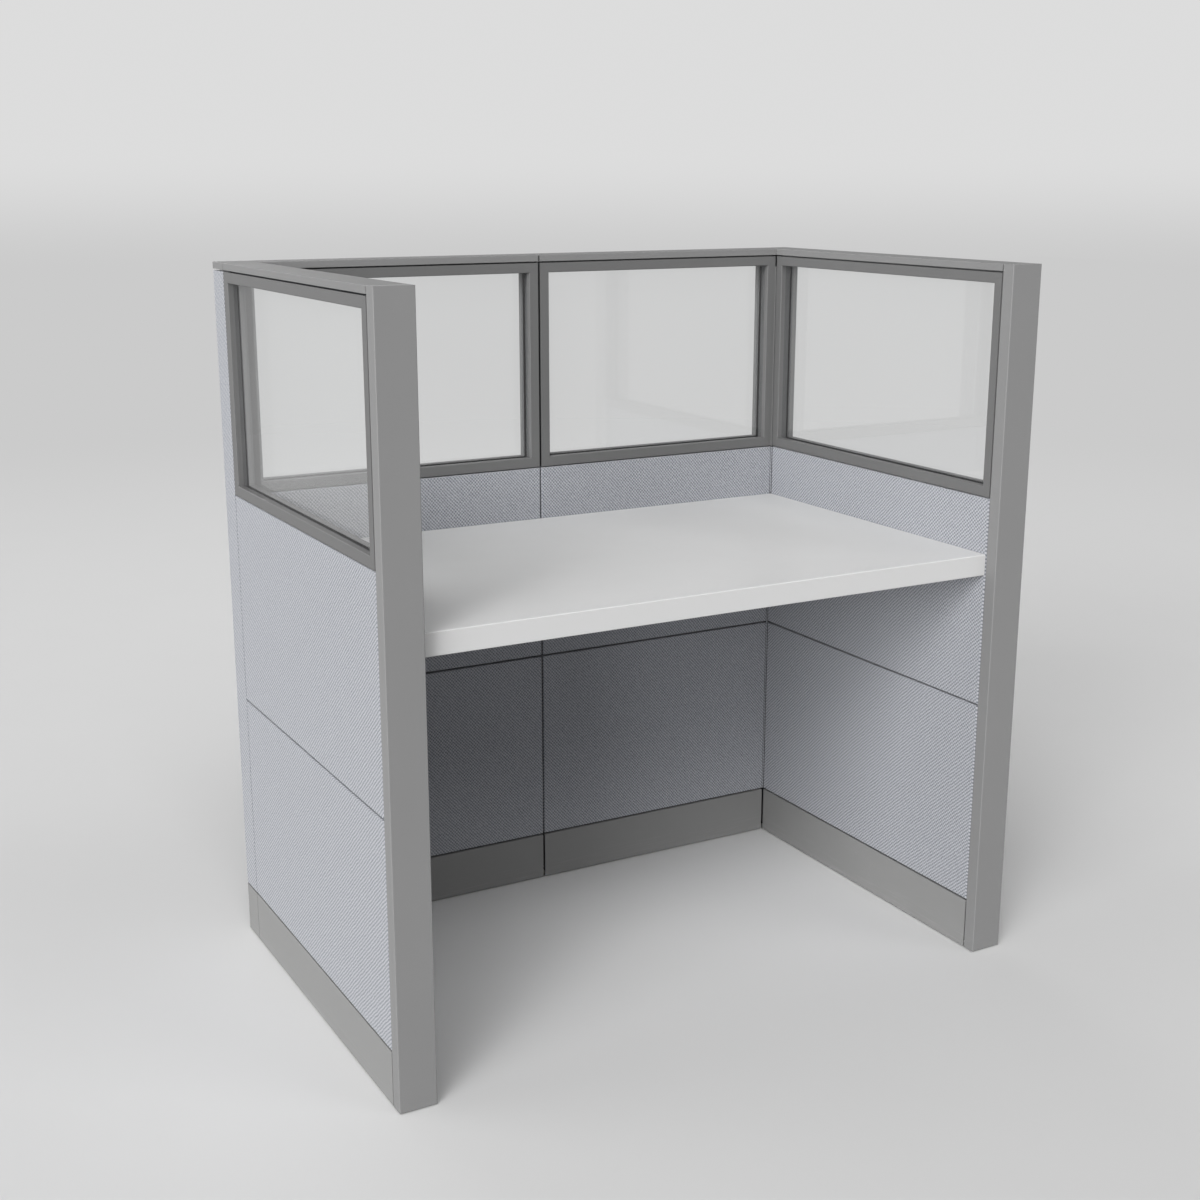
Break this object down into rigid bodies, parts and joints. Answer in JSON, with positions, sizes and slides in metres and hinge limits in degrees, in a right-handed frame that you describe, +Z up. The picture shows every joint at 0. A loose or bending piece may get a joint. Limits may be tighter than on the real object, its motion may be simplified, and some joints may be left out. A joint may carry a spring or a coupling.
{
  "type": "cubicle workstation",
  "caption": "U-shaped office workstation of glazed fabric panels with a worktop on hooked brackets, hinged base covers and levelling glides",
  "frame": {"origin": "floor point under the middle of the footprint", "axes": "+X to the right along the back panels, +Y from the open front to the back, +Z up"},
  "size_m": [1.2192, 0.762, 1.27],
  "materials": {
    "frame_steel": "dark grey powder coat, satin",
    "bezel_paint": "mid grey metallic paint, satin",
    "trim_paint": "light grey powder coat, satin",
    "cap_paint": "grey powder coat, satin",
    "cover_plastic": "light grey, matte",
    "tile_fabric": "light blue-grey woven cloth, matte",
    "corner_fabric": "light blue-grey woven cloth, matte",
    "glazing_clear": "clear, polished",
    "gasket_rubber": "black, matte",
    "strip_steel": "dark grey powder coat, satin",
    "bracket_steel": "black powder coat, satin",
    "glide_nylon": "black nylon, matte",
    "worktop_laminate": "white laminate on board, matte",
    "screw_steel": "zinc plated"
  },
  "bodies": {
    "station": {"left_wing_frame": "frame_steel", "back_left_frame": "frame_steel", "back_right_frame": "frame_steel", "right_wing_frame": "frame_steel", "left_corner_post": "frame_steel", "right_corner_post": "frame_steel", "left_corner_post_cover": "corner_fabric", "right_corner_post_cover": "corner_fabric", "left_wing_inner_lower_tile": "tile_fabric", "left_wing_inner_upper_tile": "tile_fabric", "left_wing_outer_lower_tile": "tile_fabric", "left_wing_outer_upper_tile": "tile_fabric", "back_left_inner_lower_tile": "tile_fabric", "back_left_inner_upper_tile": "tile_fabric", "back_left_outer_lower_tile": "tile_fabric", "back_left_outer_upper_tile": "tile_fabric", "back_right_inner_lower_tile": "tile_fabric", "back_right_inner_upper_tile": "tile_fabric", "back_right_outer_lower_tile": "tile_fabric", "back_right_outer_upper_tile": "tile_fabric", "right_wing_inner_lower_tile": "tile_fabric", "right_wing_inner_upper_tile": "tile_fabric", "right_wing_outer_lower_tile": "tile_fabric", "right_wing_outer_upper_tile": "tile_fabric", "left_wing_window_frame": "bezel_paint", "back_left_window_frame": "bezel_paint", "back_right_window_frame": "bezel_paint", "right_wing_window_frame": "bezel_paint", "left_wing_glazing": "glazing_clear", "back_left_glazing": "glazing_clear", "back_right_glazing": "glazing_clear", "right_wing_glazing": "glazing_clear", "glazing_gaskets": "gasket_rubber", "left_wing_cap": "cap_paint", "back_left_cap": "cap_paint", "back_right_cap": "cap_paint", "right_wing_cap": "cap_paint", "corner_caps": "cap_paint", "left_end_trim": "trim_paint", "right_end_trim": "trim_paint", "left_wing_inner_base_cover": "cover_plastic", "right_wing_inner_base_cover": "cover_plastic", "corner_base_covers": "cover_plastic", "hinge_rails": "frame_steel", "slotted_strips": "strip_steel", "worktop": "worktop_laminate", "worktop_brackets": "bracket_steel", "worktop_screws": "screw_steel"},
    "left_wing_outer_cover_body": {"left_wing_outer_base_cover": "cover_plastic"},
    "back_left_inner_cover_body": {"back_left_inner_base_cover": "cover_plastic"},
    "back_left_outer_cover_body": {"back_left_outer_base_cover": "cover_plastic"},
    "back_right_inner_cover_body": {"back_right_inner_base_cover": "cover_plastic"},
    "back_right_outer_cover_body": {"back_right_outer_base_cover": "cover_plastic"},
    "right_wing_outer_cover_body": {"right_wing_outer_base_cover": "cover_plastic"},
    "left_front_glide_body": {"left_front_glide": "glide_nylon"},
    "right_front_glide_body": {"right_front_glide": "glide_nylon"},
    "left_corner_glide_body": {"left_corner_glide": "glide_nylon"},
    "right_corner_glide_body": {"right_corner_glide": "glide_nylon"},
    "back_left_glide_body": {"back_left_glide": "glide_nylon"},
    "back_right_glide_body": {"back_right_glide": "glide_nylon"}
  },
  "joints": [
    {"name": "left_wing_outer_cover_hinge", "type": "hinge", "parent": "station", "child": "left_wing_outer_cover_body", "pos_m": [-0.6046, 0, 0.09], "axis": [0, 1, 0], "range_deg": [0, 75]},
    {"name": "back_left_inner_cover_hinge", "type": "hinge", "parent": "station", "child": "back_left_inner_cover_body", "pos_m": [-0.27, 0.3225, 0.09], "axis": [-1, 0, 0], "range_deg": [0, 75]},
    {"name": "back_left_outer_cover_hinge", "type": "hinge", "parent": "station", "child": "back_left_outer_cover_body", "pos_m": [-0.27, 0.376, 0.09], "axis": [1, 0, 0], "range_deg": [0, 75]},
    {"name": "back_right_inner_cover_hinge", "type": "hinge", "parent": "station", "child": "back_right_inner_cover_body", "pos_m": [0.27, 0.3225, 0.09], "axis": [-1, 0, 0], "range_deg": [0, 75]},
    {"name": "back_right_outer_cover_hinge", "type": "hinge", "parent": "station", "child": "back_right_outer_cover_body", "pos_m": [0.27, 0.376, 0.09], "axis": [1, 0, 0], "range_deg": [0, 75]},
    {"name": "right_wing_outer_cover_hinge", "type": "hinge", "parent": "station", "child": "right_wing_outer_cover_body", "pos_m": [0.6046, 0, 0.09], "axis": [0, -1, 0], "range_deg": [0, 75]},
    {"name": "left_front_glide_slide", "type": "slide", "parent": "station", "child": "left_front_glide_body", "axis": [0, 0, -1], "range_m": [0, 0.025]},
    {"name": "right_front_glide_slide", "type": "slide", "parent": "station", "child": "right_front_glide_body", "axis": [0, 0, -1], "range_m": [0, 0.025]},
    {"name": "left_corner_glide_slide", "type": "slide", "parent": "station", "child": "left_corner_glide_body", "axis": [0, 0, -1], "range_m": [0, 0.025]},
    {"name": "right_corner_glide_slide", "type": "slide", "parent": "station", "child": "right_corner_glide_body", "axis": [0, 0, -1], "range_m": [0, 0.025]},
    {"name": "back_left_glide_slide", "type": "slide", "parent": "station", "child": "back_left_glide_body", "axis": [0, 0, -1], "range_m": [0, 0.025]},
    {"name": "back_right_glide_slide", "type": "slide", "parent": "station", "child": "back_right_glide_body", "axis": [0, 0, -1], "range_m": [0, 0.025]}
  ]
}
